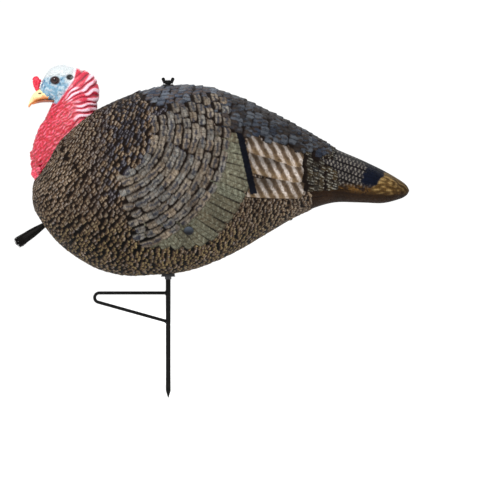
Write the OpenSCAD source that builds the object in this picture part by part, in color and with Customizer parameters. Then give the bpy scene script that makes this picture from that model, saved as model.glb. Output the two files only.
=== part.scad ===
// Gobbler turkey decoy on a ground stake: a hollow moulded body that turns on a spindle,
// a push-in head, a push-in beard, and a wing nut that clamps the body down.
// Millimetres. +Z up, -X is the way the bird faces, and Z = 0 is the ground line on the stake.

/* [Body] */
// Length of the body from breast to tail tip
body_length = 733; // [680:1:790]
// Height of the body from belly to back
body_height = 374; // [350:1:400]
// Width of the body across the wings
body_width = 276; // [240:1:310]
// Height of the belly above the ground line
belly_height = 98; // [95:1:120]
// Wall of the moulded body
wall = 3.2; // [2.5:0.1:4.5]
// How far each wing stands out of the flank
wing_relief = 7; // [3:1:12]

/* [Head] */
// Depth of the neck plug inside the body
plug_depth = 34; // [26:1:40]
// Radius of the peg that holds the head
peg_r = 9; // [7:0.5:11]
// Radius of each glass eye
eye_r = 8.5; // [7:0.5:9.5]

/* [Beard] */
// Length of the bristles
beard_length = 64; // [40:1:90]
// Radius of the bristle bundle at its open end
beard_end_r = 10; // [7:0.5:12]

/* [Stake] */
// Radius of the ground stake
stake_r = 4.75; // [4:0.25:6]
// Depth of the stake below the ground line
stake_depth = 141; // [120:1:200]
// Radius of the spindle through the body
spindle_r = 3.175; // [3:0.025:3.5]
// Reach of the foot step from the stake
step_reach = 147; // [120:1:170]
// Radius of the foot step's wire
step_r = 3.2; // [2.5:0.1:4]

/* [Wing nut] */
// Distance across the two wings
nut_span = 26; // [22:1:30]
// Rise of the nut on its thread in one turn
thread_pitch = 1.27; // [1:0.01:1.5]

/* [Hidden] */
$fn = 48;

GAP = 0.1;            // glue gap between pieces that don't move on each other
RUN = 0.075;          // running clearance of the bushes on the spindle
SEAT = 0.4;           // clearance between pieces that come apart
breast_x = -264.6;    // front of the breast, forward of the stake

// Outline of the body, breast to tail tip, as shares of its length, height and half width:
// [place along the length, height of the back, height of the belly, half width]
OUTLINE = [
    [0.000, 0.449, 0.396, 0.12], [0.004, 0.489, 0.353, 0.30], [0.017, 0.529, 0.305, 0.48],
    [0.039, 0.594, 0.238, 0.62], [0.075, 0.719, 0.159, 0.755], [0.121, 0.805, 0.091, 0.86],
    [0.177, 0.872, 0.032, 0.935], [0.244, 0.932, 0.000, 0.98], [0.320, 0.981, 0.003, 1.00],
    [0.388, 1.000, 0.014, 1.00], [0.457, 0.989, 0.050, 0.98], [0.538, 0.941, 0.120, 0.92],
    [0.620, 0.869, 0.214, 0.82], [0.702, 0.785, 0.307, 0.66], [0.784, 0.693, 0.369, 0.51],
    [0.866, 0.607, 0.388, 0.41], [0.931, 0.545, 0.386, 0.32], [0.975, 0.495, 0.406, 0.195],
    [0.993, 0.468, 0.424, 0.11], [1.000, 0.452, 0.436, 0.04]
];
LAST = len(OUTLINE) - 1;
CAVITY_FROM = 1.4;    // outline row where the hollow begins
CAVITY_TO = 16;       // outline row where it ends: the tail's end is solid

// Neck from its root to the crown: [throat x, throat z, nape x, nape z, half width]
NECK = [
    [-226, 262, -128, 392, 34], [-249, 277, -132, 408, 39], [-262, 296, -137, 419, 41],
    [-266, 339, -140, 428, 39], [-254, 382, -138, 440, 34], [-239, 406, -136, 452, 30],
    [-227, 434, -138, 468, 27], [-216, 455, -146, 486, 24], [-203, 472, -166, 500, 17]
];
// Skull and beak: [jaw x, jaw z, crown x, crown z, half width]
SKULL = [
    [-158, 458, -148, 488, 10], [-176, 440, -170, 502, 21], [-200, 436, -200, 510.5, 25],
    [-220, 438, -227, 503, 24], [-232, 441, -242, 484, 17.5], [-240, 441.5, -251, 462, 11],
    [-253, 439, -262, 453.5, 7.5], [-262, 432, -268.5, 444, 5], [-269, 425.5, -272.5, 432, 2.6]
];
// Snood: [height, centre x, half width]
SNOOD = [[461.5, -254, 2.4], [466, -255.5, 3.4], [472, -256, 6], [479, -256.5, 7.8],
         [484.5, -258, 5.6], [487, -258.8, 2.2]];

neck_tilt = 36.87;    // lean of the neck's plug forward of the vertical
neck_seat = [-193, 0, 350];
plug_half = 26;       // half the straight part of the plug's rounded section
plug_r = 30;          // radius of its ends

eye_place = [-219, 0, 478.5];
eye_side = 18.5;      // distance of an eye's centre from the bird's middle

beard_place = [-238, 0, 199.5];
beard_tilt = -124;    // turn about Y from straight up to the way that the beard points
beard_root_r = 5.5;
beard_peg_r = 4.5;
beard_peg_length = 24;

side_plug_x = 42;
side_plug_angle = 238; // place round the section, from the back
side_plug_r = 9.5;

bush_r = 7.9;
flange_r = 13;
seat_r = 15;
washer_r = 10.5;
washer_t = 1.5;
nut_hub_r = 5.4;
nut_base = 7;
nut_wing_t = 3;
step_top = 64;        // height of the foot step's bar
step_low = 8;         // height where its lower arm meets the stake
step_bend_r = 9.2;

// ---- curves through the outline's points ----

function blend4(a, b, c, d, t) =
    0.5 * (2 * b + (c - a) * t + (2 * a - 5 * b + 4 * c - d) * t * t
           + (3 * b - a - 3 * c + d) * t * t * t);
function row(list, i) = list[max(0, min(len(list) - 1, i))];
function curve(list, s) =
    let (i = min(floor(s), len(list) - 2))
    blend4(row(list, i - 1), row(list, i), row(list, i + 1), row(list, i + 2), s - i);

// ---- the body's surface ----

function at_x(share) = breast_x + share * body_length;
function at_z(share) = belly_height + share * body_height;
function wing_rise(x, z) =
    wing_relief * pow(max(0, 1 - pow((x - 45) / 160, 2) - pow((z - 310) / 125, 2)), 0.7);
function section_point(s, angle, grow) =
    let (
        o = curve(OUTLINE, s),
        back = at_z(o[1]) + grow,
        belly = at_z(o[2]) - grow,
        middle = belly + 0.47 * (back - belly),
        c = cos(angle),
        x = at_x(0.5 + (o[0] - 0.5) * (1 + 2 * grow / body_length)),
        z = middle + (c > 0 ? back - middle : middle - belly) * c,
        y = (o[3] * body_width / 2 + grow + wing_rise(x, z)) * sin(angle)
    )
    [x, y, z];
function section(s, grow, sides) =
    [for (i = [0 : sides - 1]) section_point(s, 360 * i / sides, grow)];

// A closed solid through rings of points, each ring flat and of the same count
module skin(rings) {
    n = len(rings[0]);
    last = len(rings) - 1;
    polyhedron(
        points = [for (r = rings) for (p = r) p],
        faces = concat(
            [[for (i = [n - 1 : -1 : 0]) i]],
            [for (k = [0 : last - 1]) for (i = [0 : n - 1]) let (j = (i + 1) % n)
                each [[k * n + i, k * n + j, (k + 1) * n + j], [k * n + i, (k + 1) * n + j, (k + 1) * n + i]]],
            [[for (i = [0 : n - 1]) last * n + i]]
        ),
        convexity = 6
    );
}

module body_form(grow = 0, first = 0, last = LAST, rings = 42, sides = 40) {
    skin([for (k = [0 : rings]) section(first + (last - first) * k / rings, grow, sides)]);
}

// Rings between a pair of points in the bird's middle plane, oval across it
function oval(o, sides) =
    [for (i = [0 : sides - 1])
        let (a = 360 * i / sides, c = (1 - cos(a)) / 2)
        [o[0] + (o[2] - o[0]) * c, o[4] * sin(a), o[1] + (o[3] - o[1]) * c]];
module ovals(list, per_row, sides = 24) {
    steps = (len(list) - 1) * per_row;
    skin([for (k = [0 : steps]) oval(curve(list, k / per_row), sides)]);
}

// ---- shared placements ----

module on_neck() translate(neck_seat) rotate([0, -neck_tilt, 0]) children();
module on_beard() translate(beard_place) rotate([0, beard_tilt, 0]) children();
module rounded_bar(half, r) {
    square([2 * half, 2 * r], center = true);
    for (side = [-1, 1]) translate([side * half, 0]) circle(r);
}
module neck_prism(extra, from, to) {
    on_neck() translate([0, 0, from]) linear_extrude(to - from) rounded_bar(plug_half, plug_r + extra);
}
module ring(r, bore, low, high) {
    translate([0, 0, low]) difference() {
        cylinder(r = r, h = high - low);
        translate([0, 0, -1]) cylinder(r = bore, h = high - low + 2);
    }
}

// A point of the body's skin and the way it faces there, for the side plug
plug_row = 9.46;
plug_point = section_point(plug_row, side_plug_angle, 0);
plug_tilt = 62;       // the flank faces this far round from straight down

back_z = section_point(9, 0, 0)[2] - 1.4;      // back's height at the spindle
belly_z = at_z(0.008);                         // belly's height at the spindle
back_seat = back_z - 2.6;
belly_seat = belly_z + 1.6;

// ---- stake ----

module ground_stake() color([0.05, 0.05, 0.055]) {
    top = belly_seat - 12;
    point = 13.5;
    difference() {
        union() {
            translate([0, 0, -stake_depth + point]) cylinder(r = stake_r, h = stake_depth - point + top);
            translate([0, 0, -stake_depth]) cylinder(r1 = 0.8, r2 = stake_r, h = point);
        }
        translate([0, 0, 1]) difference() {
            cylinder(r = stake_r + 1, h = 2);
            translate([0, 0, -1]) cylinder(r = stake_r - 0.4, h = 4);
        }
        translate([0, 0, top - 26]) cylinder(r = spindle_r, h = 27);
    }
}

module step_loop() color([0.05, 0.05, 0.055]) {
    bend_x = -(step_reach - step_bend_r - step_r);
    fall = step_top - 2 * step_bend_r - step_low;
    slope = atan(fall / -bend_x);
    arm = -bend_x / cos(slope);
    difference() {
        union() {
            translate([bend_x - 0.4, 0, step_top]) rotate([0, 90, 0]) cylinder(r = step_r, h = 0.4 - bend_x);
            translate([bend_x, 0, step_top - step_bend_r]) rotate([90, 0, 0])
                rotate([0, 0, 90]) rotate_extrude(angle = 180 - slope)
                    translate([step_bend_r, 0]) circle(step_r - 0.12);
            translate([bend_x, 0, step_top - step_bend_r]) rotate([0, slope, 0])
                translate([-0.4, 0, -step_bend_r]) rotate([0, 90, 0])
                    cylinder(r = step_r, h = arm + step_bend_r * tan(slope));
        }
        translate([0, 0, -20]) cylinder(r = stake_r, h = step_top + 40);
        translate([0, -10, -20]) cube([30, 20, step_top + 40]);
    }
}

module spindle_rod() color([0.62, 0.63, 0.65]) {
    translate([0, 0, belly_seat - 38]) cylinder(r = spindle_r, h = back_seat + 12.5 - belly_seat + 38);
}

module jam_nut() color([0.62, 0.63, 0.65]) {
    translate([0, 0, belly_seat - 12]) difference() {
        cylinder(r = 6.35, h = 5.4, $fn = 6);
        translate([0, 0, -1]) cylinder(r = spindle_r, h = 8);
    }
}

module belly_washer() color([0.62, 0.63, 0.65])
    ring(14, spindle_r + 0.02, belly_seat - 6.6, belly_seat - 4.8);

// ---- body ----

module body_shell() color([0.30, 0.25, 0.20]) difference() {
    body_form();
    body_form(-wall, CAVITY_FROM, CAVITY_TO, 34, 32);
    neck_prism(3, -plug_depth - 40, 110);
    translate([0, 0, belly_seat - 45]) cylinder(r = bush_r + GAP, h = back_seat - belly_seat + 90);
    translate([0, 0, belly_seat - 40]) cylinder(r = seat_r, h = 40);
    translate([0, 0, back_seat]) cylinder(r = seat_r, h = 40);
    on_beard() translate([0, 0, -40]) cylinder(r = 7.5 + GAP, h = 60);
    at_side_plug() translate([0, 0, -20]) cylinder(r = 6, h = 40);
}

module stake_tube() color([0.86, 0.85, 0.80]) ring(10, bush_r + GAP, belly_seat + 8, back_seat - 9);

module bush(flange_low) {
    difference() {
        union() {
            translate([0, 0, flange_low ? 0 : -16]) cylinder(r = bush_r, h = 16);
            translate([0, 0, flange_low ? -4.4 : 0]) cylinder(r = flange_r, h = flange_low ? 4.4 : 1.6);
        }
        translate([0, 0, -30]) cylinder(r = spindle_r + RUN, h = 60);
    }
}
module belly_bush() color([0.12, 0.12, 0.12]) translate([0, 0, belly_seat]) bush(true);
module back_bush() color([0.12, 0.12, 0.12]) translate([0, 0, back_seat]) bush(false);

module neck_cup() color([0.16, 0.15, 0.14]) intersection() {
    difference() {
        neck_prism(3 - GAP, -plug_depth - 4, 110);
        neck_prism(SEAT, -plug_depth - 1, 111);
        on_neck() translate([0, 0, -plug_depth - 10]) cylinder(r = peg_r + RUN, h = 20);
    }
    body_form(-0.2);
}

module beard_socket() color([0.10, 0.10, 0.10]) intersection() {
    on_beard() difference() {
        translate([0, 0, -beard_peg_length - 3]) cylinder(r = 7.5, h = beard_peg_length + 5.6);
        translate([0, 0, -beard_peg_length - 1]) cylinder(r = beard_peg_r + RUN, h = beard_peg_length + 30);
    }
    body_form(-0.2);
}

module at_side_plug() translate(plug_point) rotate([180 - plug_tilt, 0, 0]) children();
module side_plug() color([0.11, 0.12, 0.13]) at_side_plug() {
    translate([0, 0, -7]) cylinder(r = 5.9, h = 9);
    translate([0, 0, 1.4]) difference() {
        translate([0, 0, -5.6]) sphere(r = side_plug_r + 1.5);
        translate([-20, -20, -40]) cube([40, 40, 40]);
    }
}

// ---- head ----

module head_neck() color([0.80, 0.12, 0.18]) difference() {
    union() {
        difference() {
            union() {
                ovals(NECK, 3);
                ovals(SKULL, 3);
            }
            body_form(SEAT);
        }
        neck_prism(0, -plug_depth, 22);
    }
    for (side = [-1, 1])
        translate([eye_place[0], side * eye_side, eye_place[2]]) sphere(r = eye_r + GAP);
    translate([-254, 0, 445]) cylinder(r = 2.2 + GAP, h = 30);
    on_neck() translate([0, 0, -plug_depth - 1]) cylinder(r = peg_r, h = 46);
}

module neck_peg() color([0.14, 0.14, 0.14]) on_neck()
    translate([0, 0, -plug_depth - 22]) {
        cylinder(r = peg_r, h = 67);
        translate([0, 0, -4]) cylinder(r1 = peg_r - 3, r2 = peg_r, h = 4);
    }

module snood() color([0.84, 0.16, 0.24]) {
    skin([for (k = [0 : 15]) let (o = curve(SNOOD, k / 3))
        [for (i = [0 : 15]) [o[1] + o[2] * cos(22.5 * i), -0.62 * o[2] * sin(22.5 * i), o[0]]]]);
    translate([-254, 0, 446]) cylinder(r = 2.2, h = 16);
}

module eye(side) translate([eye_place[0], side * eye_side, eye_place[2]]) sphere(r = eye_r);
module eye_left() color([0.07, 0.03, 0.02]) eye(-1);
module eye_right() color([0.07, 0.03, 0.02]) eye(1);

// ---- beard ----

module beard_bristles() color([0.03, 0.03, 0.03]) on_beard()
    translate([0, 0, 6]) cylinder(r1 = beard_root_r, r2 = beard_end_r, h = beard_length - 4);

module beard_ferrule() color([0.08, 0.08, 0.08]) on_beard() {
    translate([0, 0, -beard_peg_length]) cylinder(r = beard_peg_r, h = beard_peg_length + 3);
    translate([0, 0, 3]) cylinder(r = beard_root_r, h = 3);
}

// ---- wing nut ----

washer_z = back_seat + 1.6 + 0.35;
nut_z = washer_z + washer_t + 0.35;

module top_washer() color([0.62, 0.63, 0.65])
    ring(washer_r, spindle_r + RUN, washer_z, washer_z + washer_t);

module wing_nut() color([0.06, 0.06, 0.065]) translate([0, 0, nut_z]) difference() {
    union() {
        cylinder(r = nut_hub_r, h = nut_base);
        for (side = [0, 180]) rotate([0, 0, side]) rotate([90, 0, 0])
            translate([0, 0, -nut_wing_t / 2]) linear_extrude(nut_wing_t) {
                translate([nut_span / 2 - 3.4, 9]) circle(3.4);
                polygon([[3, 0.6], [5, 0.6], [nut_span / 2, 8.4], [nut_span / 2 - 6.4, 10.4], [3, 6.4]]);
            }
    }
    translate([0, 0, -1]) cylinder(r = spindle_r + RUN, h = nut_base + 2);
}

ground_stake();
step_loop();
spindle_rod();
jam_nut();
belly_washer();
body_shell();
stake_tube();
belly_bush();
back_bush();
neck_cup();
beard_socket();
side_plug();
head_neck();
neck_peg();
snood();
eye_left();
eye_right();
beard_bristles();
beard_ferrule();
top_washer();
wing_nut();
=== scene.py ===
# Gobbler turkey decoy: feathered body, painted head, bristle beard and black steel stake.
# Lengths in the tables are millimetres; meshes are built in metres.
import math

import bmesh
import bpy
import numpy as np
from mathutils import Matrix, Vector


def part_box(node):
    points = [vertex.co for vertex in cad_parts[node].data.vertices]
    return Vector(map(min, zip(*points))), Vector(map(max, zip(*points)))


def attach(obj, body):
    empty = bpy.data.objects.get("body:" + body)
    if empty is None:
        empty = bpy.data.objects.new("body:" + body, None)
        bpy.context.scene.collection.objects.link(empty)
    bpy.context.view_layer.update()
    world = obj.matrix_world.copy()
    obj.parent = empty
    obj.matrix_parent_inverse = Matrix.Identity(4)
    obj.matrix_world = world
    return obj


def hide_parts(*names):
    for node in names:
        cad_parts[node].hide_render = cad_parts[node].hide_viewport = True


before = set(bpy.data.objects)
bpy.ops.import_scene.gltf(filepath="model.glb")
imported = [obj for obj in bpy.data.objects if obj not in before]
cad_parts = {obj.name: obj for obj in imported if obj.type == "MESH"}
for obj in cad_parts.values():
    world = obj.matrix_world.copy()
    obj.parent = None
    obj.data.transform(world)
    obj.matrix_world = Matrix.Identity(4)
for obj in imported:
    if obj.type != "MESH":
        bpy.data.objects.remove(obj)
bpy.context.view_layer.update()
rng = np.random.default_rng(11)


# ---------------- helpers

def smooth(x, a, b):
    """0 below a, 1 above b, smooth between."""
    t = np.clip((x - a) / (b - a), 0.0, 1.0)
    return t * t * (3 - 2 * t)


def catmull(rows, per_row):
    """Points on a smooth curve through the rows, end rows included."""
    rows = np.asarray(rows, float)
    ext = np.vstack([rows[:1], rows, rows[-1:]])
    s = np.linspace(0, len(rows) - 1, (len(rows) - 1) * per_row + 1)
    i = np.minimum(s.astype(int), len(rows) - 2)
    t = (s - i)[:, None]
    a, b, c, d = ext[i], ext[i + 1], ext[i + 2], ext[i + 3]
    square, cube = 2 * a - 5 * b + 4 * c - d, 3 * b - a - 3 * c + d
    return 0.5 * (2 * b + (c - a) * t + square * t**2 + cube * t**3)


def turns(n):
    """n equal steps round a circle, in radians."""
    return np.linspace(0, 2 * math.pi, n, endpoint=False)


def circle(th, u, v):
    """Points round a circle that has u and v for its two radii."""
    return np.cos(th)[:, None] * u + np.sin(th)[:, None] * v


def unit(v):
    return v / np.maximum(np.linalg.norm(v, axis=-1, keepdims=True), 1e-9)


def rgb(r, g, b):
    """A picture colour, 0 to 255, as the linear colour that a material takes."""
    return (np.array([r, g, b]) / 255) ** 2.2


def blend(a, b, f):
    """From colour a to colour b by f, which is one number for each point."""
    return a + (b - a) * np.clip(f, 0, 1)[:, None]


def make_noise(seed, waves=10):
    """A smooth repeatable noise of place, about -1 to 1, made of sine waves."""
    r = np.random.default_rng(seed)
    k = unit(r.normal(size=(waves, 3))) * r.uniform(0.6, 1.7, (waves, 1))
    ph = r.uniform(0, 2 * math.pi, waves)

    def noise(p, size):
        return np.sin(p @ k.T * (2 * math.pi / size) + ph).sum(-1) / math.sqrt(waves * 0.6)

    return noise


noise_a, noise_b, noise_c = make_noise(1), make_noise(2), make_noise(3)


def new_mesh(name, verts, faces):
    """A smooth-shaded object from points in millimetres."""
    me = bpy.data.meshes.new(name)
    me.from_pydata((np.asarray(verts) * 0.001).tolist(), [], faces)
    me.polygons.foreach_set("use_smooth", [True] * len(me.polygons))
    me.update()
    ob = bpy.data.objects.new(name, me)
    bpy.context.scene.collection.objects.link(ob)
    return ob


def applied(ob):
    """The object with its modifiers made real."""
    bpy.context.view_layer.update()
    dg = bpy.context.evaluated_depsgraph_get()
    me = bpy.data.meshes.new_from_object(ob.evaluated_get(dg), depsgraph=dg)
    old = ob.data
    ob.modifiers.clear()
    ob.data = me
    me.name = ob.name
    bpy.data.meshes.remove(old)
    return ob


def points(ob):
    """The mesh's points in millimetres."""
    co = np.empty(len(ob.data.vertices) * 3)
    ob.data.vertices.foreach_get("co", co)
    return co.reshape(-1, 3) * 1000


def normals(ob):
    no = np.empty(len(ob.data.vertices) * 3)
    ob.data.vertices.foreach_get("normal", no)
    return no.reshape(-1, 3)


def set_points(ob, co):
    ob.data.vertices.foreach_set("co", (co * 0.001).ravel())
    ob.data.update()


def set_colour(ob, name, values):
    """Stores one colour for each point."""
    at = ob.data.color_attributes.new(name, "FLOAT_COLOR", "POINT")
    at.data.foreach_set("color", np.column_stack([values, np.ones(len(values))]).astype(np.float32).ravel())


def dress(ob, material):
    """One material over the whole piece."""
    ob.data.materials.clear()
    ob.data.materials.append(material)
    ob.data.polygons.foreach_set("material_index", [0] * len(ob.data.polygons))
    ob.data.update()


def cut(ob, cutter):
    """Takes the cutter's form out of the object."""
    m = ob.modifiers.new("cut", "BOOLEAN")
    m.operation = "DIFFERENCE"
    m.solver = "MANIFOLD"
    m.object = cutter
    applied(ob)
    bpy.data.objects.remove(cutter)


def outward(ob):
    """The object with its faces turned outward."""
    b = bmesh.new()
    b.from_mesh(ob.data)
    bmesh.ops.recalc_face_normals(b, faces=b.faces)
    b.to_mesh(ob.data)
    b.free()
    return ob


def loft(rings, close=True):
    """Points and quads through rings of the same count."""
    n, verts, faces = len(rings[0]), np.vstack(rings), []
    for k in range(len(rings) - 1):
        a, b = k * n, (k + 1) * n
        faces += [(a + i, a + (i + 1) % n, b + (i + 1) % n, b + i) for i in range(n)]
    if close:
        faces += [tuple(range(n))[::-1], tuple(range((len(rings) - 1) * n, len(rings) * n))]
    return verts, faces


def hoop(rings):
    """Points and quads through rings that come round to the first one again."""
    verts, faces = loft(rings, close=False)
    n, last = len(rings[0]), len(verts) - len(rings[0])
    return verts, faces + [(last + i, last + (i + 1) % n, (i + 1) % n, i) for i in range(n)]


def cylinder(name, start, end, radius, sides=48):
    a, b = np.asarray(start, float), np.asarray(end, float)
    d = unit(b - a)
    u = unit(np.cross(d, [0, 1, 0] if abs(d[1]) < 0.9 else [1, 0, 0]))
    v = np.cross(d, u)
    ring = circle(turns(sides), u, v)
    return new_mesh(name, *loft([a + ring * radius, b + ring * radius]))


# ---------------- node materials

class Nodes:
    """A few short ways to write a node tree."""

    def __init__(self, name):
        self.mat = bpy.data.materials.new(name)
        self.mat.use_nodes = True
        self.tree = self.mat.node_tree
        self.bsdf = self.tree.nodes["Principled BSDF"]

    def add(self, kind, **values):
        n = self.tree.nodes.new(kind)
        for key, value in values.items():
            if hasattr(n, key):
                setattr(n, key, value)
            else:
                n.inputs[key.replace("_", " ")].default_value = value
        return n

    def link(self, a, b):
        self.tree.links.new(a, b)

    def attribute(self, name):
        return self.add("ShaderNodeAttribute", attribute_name=name).outputs["Color"]

    def coords(self):
        return self.add("ShaderNodeTexCoord").outputs["Object"]

    def height(self):
        """How high a point is, in metres."""
        split = self.add("ShaderNodeSeparateXYZ")
        self.link(self.coords(), split.inputs[0])
        return split.outputs["Z"]

    def put(self, socket, v):
        """Gives a socket a number, a colour or a link."""
        if isinstance(v, (int, float)):
            socket.default_value = v
        elif isinstance(v, tuple):
            socket.default_value = (*v, 1.0)
        else:
            self.link(v, socket)

    def noise(self, scale, detail=4.0, rough=0.55, stretch=None):
        vector = self.coords()
        if stretch:
            m = self.add("ShaderNodeMapping", Scale=stretch)
            self.link(vector, m.inputs["Vector"])
            vector = m.outputs["Vector"]
        n = self.add("ShaderNodeTexNoise", Scale=scale, Detail=detail, Roughness=rough)
        self.link(vector, n.inputs["Vector"])
        return n.outputs["Fac"]

    def math(self, op, a, b=None):
        n = self.add("ShaderNodeMath", operation=op)
        self.put(n.inputs[0], a)
        if b is not None:
            self.put(n.inputs[1], b)
        return n.outputs[0]

    def vector(self, op, a, b=(0.0, 0.0, 0.0)):
        n = self.add("ShaderNodeVectorMath", operation=op)
        self.link(a, n.inputs[0])
        n.inputs[1].default_value = b
        return n.outputs

    def remap(self, v, lo, hi, to_lo=0.0, to_hi=1.0):
        n = self.add("ShaderNodeMapRange", clamp=True, From_Min=lo, From_Max=hi, To_Min=to_lo, To_Max=to_hi)
        self.link(v, n.inputs["Value"])
        return n.outputs["Result"]

    def mix(self, fac, a, b, blend="MIX"):
        n = self.add("ShaderNodeMix", data_type="RGBA", blend_type=blend)
        for i, v in ((0, fac), (6, a), (7, b)):     # the sockets of a colour mix
            self.put(n.inputs[i], v)
        return n.outputs[2]

    def bump(self, height, distance, strength):
        n = self.add("ShaderNodeBump", Distance=distance, Strength=strength)
        self.link(height, n.inputs["Height"])
        self.link(n.outputs["Normal"], self.bsdf.inputs["Normal"])

    def finish(self, colour, rough, metallic=0.0, specular=0.5):
        s = self.bsdf.inputs
        self.put(s["Base Color"], colour)
        self.put(s["Roughness"], rough)
        s["Metallic"].default_value = metallic
        s["Specular IOR Level"].default_value = specular
        return self.mat


def steel_coat():
    """Black paint on steel, rubbed a little in places."""
    n = Nodes("stake_coat")
    grain = n.noise(900.0, 3.0)
    wear = n.remap(n.noise(60.0, 6.0), 0.60, 0.74)
    n.bump(grain, 0.0003, 0.5)
    colour = n.mix(wear, (0.003, 0.003, 0.003), (0.014, 0.013, 0.012))
    return n.finish(colour, n.remap(grain, 0.3, 0.7, 0.45, 0.6), 0.0, 0.08)


def zinc():
    """Blackened zinc, worn to bare metal at the spindle's top end."""
    n = Nodes("zinc_steel")
    g = n.noise(420.0, 5.0, stretch=(1.0, 1.0, 0.15))
    n.bump(g, 0.0002, 0.4)
    bare = n.math("MULTIPLY", n.remap(n.height(), 0.4690, 0.4696), n.remap(g, 0.2, 0.5, 0.6, 1.0))
    dark = n.mix(g, (0.018, 0.018, 0.020), (0.045, 0.045, 0.048))
    return n.finish(n.mix(bare, dark, (0.46, 0.46, 0.47)), n.remap(g, 0.3, 0.7, 0.3, 0.5), 0.7)


def plastic(name, dark, light, rough=(0.42, 0.6), specular=0.5):
    """Moulded plastic with a fine grain."""
    n = Nodes(name)
    g = n.noise(500.0, 4.0)
    n.bump(g, 0.0003, 0.35)
    return n.finish(n.mix(n.noise(45.0, 3.0), dark, light), n.remap(g, 0.3, 0.7, *rough), 0.0, specular)


def knob():
    """The black side plug, with painted light: greyer at its top as a painted highlight, black lower down as painted
    shade.
    """
    n = Nodes("plug_plastic")
    low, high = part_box("side_plug")
    top = n.remap(n.height(), low[2] + 0.004, high[2] - 0.004)
    g = n.noise(500.0, 4.0)
    n.bump(g, 0.0003, 0.35)
    # Painted highlight at the top, painted shade lower down
    colour = n.mix(top, (0.002, 0.002, 0.003), (0.036, 0.044, 0.055))
    return n.finish(colour, n.remap(g, 0.3, 0.7, 0.32, 0.42), 0.0, 0.08)


# ---------------- the body's form

BREAST_X, LENGTH, HEIGHT, WIDTH, BELLY = -264.6, 733.0, 374.0, 276.0, 98.0
# Each row: place along the body, back, belly and half width, as shares of its length, height and half width
OUTLINE = [
    [0.000, 0.4225, 0.4225, 0.0], [0.004, 0.489, 0.353, 0.30], [0.017, 0.529, 0.305, 0.48],
    [0.039, 0.594, 0.238, 0.62], [0.075, 0.719, 0.159, 0.755], [0.121, 0.805, 0.091, 0.86],
    [0.177, 0.872, 0.032, 0.935], [0.244, 0.932, 0.000, 0.98], [0.320, 0.981, 0.003, 1.00],
    [0.388, 1.000, 0.014, 1.00], [0.457, 0.989, 0.050, 0.98], [0.538, 0.941, 0.120, 0.92],
    [0.620, 0.869, 0.214, 0.82], [0.702, 0.785, 0.307, 0.66], [0.784, 0.693, 0.369, 0.51],
    [0.866, 0.607, 0.388, 0.41], [0.931, 0.545, 0.386, 0.32], [0.975, 0.495, 0.406, 0.195],
    [0.993, 0.468, 0.424, 0.11], [1.000, 0.444, 0.444, 0.0],
]
PER_ROW = 200                             # points on the outline between two of its rows
WIDEST = 0.47                             # how far up the body is widest
form = catmull(OUTLINE, PER_ROW)
form_x = BREAST_X + form[:, 0] * LENGTH
form_back = BELLY + form[:, 1] * HEIGHT
form_belly = BELLY + form[:, 2] * HEIGHT
form_half = np.maximum(form[:, 3], 0) * WIDTH / 2


def wing_rise(x, z):
    """How far the folded wing swells the flank."""
    return 7.0 * np.maximum(0, 1 - ((x - 45) / 160) ** 2 - ((z - 310) / 125) ** 2) ** 0.7


def half_width(x, z):
    """How far the body's skin is from the middle plane at a place in the side view."""
    back = np.interp(x, form_x, form_back)
    belly = np.interp(x, form_x, form_belly)
    half = np.interp(x, form_x, form_half)
    mid = belly + WIDEST * (back - belly)
    c = np.where(z > mid, (z - mid) / np.maximum(back - mid, 1e-6), (mid - z) / np.maximum(mid - belly, 1e-6))
    return (half + wing_rise(x, z)) * np.sqrt(np.clip(1 - c * c, 0, 1))


def along(line, lengths):
    """Points at these lengths along a line of points."""
    seg = np.r_[0, np.cumsum(np.linalg.norm(np.diff(line, axis=0), axis=1))]
    return np.column_stack([np.interp(lengths, seg, line[:, k]) for k in (0, 1)]), seg[-1]


ROOT_X = -200.0                           # where the feather rows start, at the neck's root
k0 = int(np.searchsorted(form_x, ROOT_X))
back_line, belly_line = np.column_stack([form_x, form_back]), np.column_stack([form_x, form_belly])
top_line = back_line[k0:]
low_line = np.vstack([back_line[:k0 + 1][::-1], belly_line])
_, top_length = along(top_line, [0])
_, low_length = along(low_line, [0])
# Lengths from the neck's root along the back and along the breast that one row of feathers joins
PAIRS = np.array([(0, 0), (71, 105), (160, 157), (222, 228), (302, 345), (386, 455), (499, 600), (563, 750),
                  (650, 875), (717, 955), (740, 980)], float)
pair_mean = PAIRS.mean(axis=1)
# How far back each row bows on the flanks
BOW = np.interp(pair_mean, [0, 90, 250, 450, 650, 860], [0, 8, 36, 52, 30, 0])


def skin_point(u, phi):
    """A place on the smooth skin: u millimetres from the neck's root, phi round from the back."""
    a = np.interp(u, pair_mean, PAIRS[:, 0] / PAIRS[-1, 0]) * top_length
    b = np.interp(u, pair_mean, PAIRS[:, 1] / PAIRS[-1, 1]) * low_length
    pt, _ = along(top_line, a)
    pb, _ = along(low_line, b)
    c = np.cos(phi)[:, None]
    p = (pt + pb) / 2 + (pt - pb) / 2 * c
    chord = pt - pb
    rear = unit(np.column_stack([chord[:, 1], -chord[:, 0]]))
    p = p + rear * (np.interp(u, pair_mean, BOW) * np.sin(phi) ** 2)[:, None]
    y = half_width(p[:, 0], p[:, 1])
    return np.column_stack([p[:, 0], -np.sign(np.sin(phi)) * y, p[:, 1]])


U_END = pair_mean[-1]
RINGS, SIDES = 520, 560
us = np.linspace(0.5, U_END - 0.3, RINGS)
phis = turns(SIDES)
grid_u, grid_phi = np.meshgrid(us, phis, indexing="ij")
skin = skin_point(grid_u.ravel(), grid_phi.ravel()).reshape(RINGS, SIDES, 3)
d_u = np.gradient(skin, axis=0)
d_phi = (np.roll(skin, -1, 1) - np.roll(skin, 1, 1)) / 2
skin_n = unit(np.cross(d_u, d_phi))
skin_n *= np.sign((skin_n * (skin - skin.mean(axis=(0, 1)))).sum(-1).mean())
skin_flow = unit(d_u - (d_u * skin_n).sum(-1, keepdims=True) * skin_n)


# ---------------- feathers

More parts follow.
